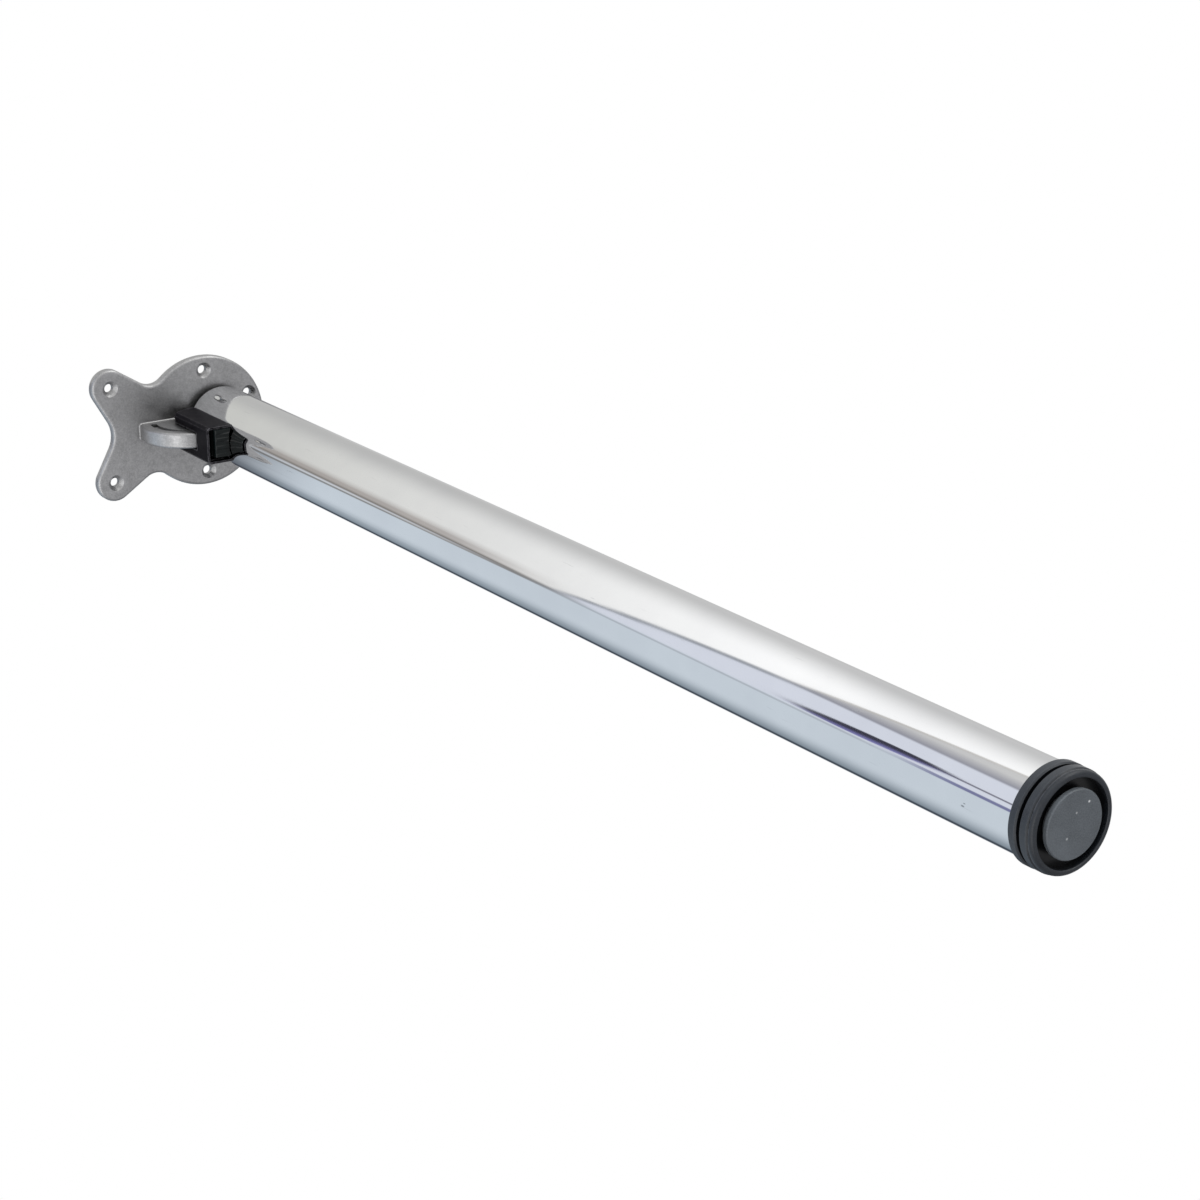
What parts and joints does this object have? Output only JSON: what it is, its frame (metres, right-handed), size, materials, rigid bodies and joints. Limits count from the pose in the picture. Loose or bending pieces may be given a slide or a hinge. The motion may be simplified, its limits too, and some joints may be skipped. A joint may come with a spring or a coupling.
{
  "type": "height adjustable table leg",
  "caption": "Folding table leg: a round chromed tube hinged on a two-armed plate with a curved fin, a sprung side latch and a screw foot for height.",
  "frame": {"origin": "where the tube's axis meets the plate's mounting face", "axes": "+Z is the plate's outward normal, the leg hangs towards -Z, and +X points along the plate's arms, the side the leg folds to"},
  "size_m": [0.1335, 0.0962, 0.88],
  "materials": {
    "cast_metal": "satin",
    "chrome": "polished",
    "steel": "satin",
    "black_plastic": "satin",
    "gloss_black": "gloss",
    "grey_plastic": "matte",
    "tread_rubber": "matte",
    "pad_plastic": "matte"
  },
  "bodies": {
    "plate": {"plate_casting": "cast_metal"},
    "leg": {"tube": "chrome", "hinge_block": "cast_metal", "hinge_pin": "steel", "pin_clip": "steel", "latch_housing": "black_plastic", "housing_screw_a": "steel", "housing_screw_b": "steel", "latch_spring": "steel", "foot_socket": "grey_plastic", "foot_nut": "steel"},
    "latch": {"release_slider": "gloss_black", "latch_plate": "steel", "lock_pin": "steel"},
    "pad": {"foot_pad": "pad_plastic"},
    "foot": {"foot_body": "grey_plastic", "foot_tread": "tread_rubber", "foot_bolt": "steel"}
  },
  "joints": [
    {"name": "fold", "type": "hinge", "parent": "plate", "child": "leg", "pos_m": [0.03, 0, -0.018], "axis": [0, -1, 0], "range_deg": [0, 90]},
    {"name": "latch", "type": "slide", "parent": "leg", "child": "latch", "axis": [0, -1, 0], "range_m": [0, 0.003], "stiffness_N_per_m": 500, "springref_m": 0.006, "deforming": ["latch_spring"]},
    {"name": "foot_height", "type": "slide", "parent": "leg", "child": "pad", "axis": [0, 0, -1], "range_m": [0, 0.02]},
    {"name": "foot_turn", "type": "hinge", "parent": "pad", "child": "foot", "pos_m": [0, 0, -0.88], "axis": [0, 0, -1], "range_deg": [0, 4801]}
  ],
  "couplings": [
    {"joint": "foot_turn", "follows": "foot_height", "rad_per_m": 4188.8}
  ]
}
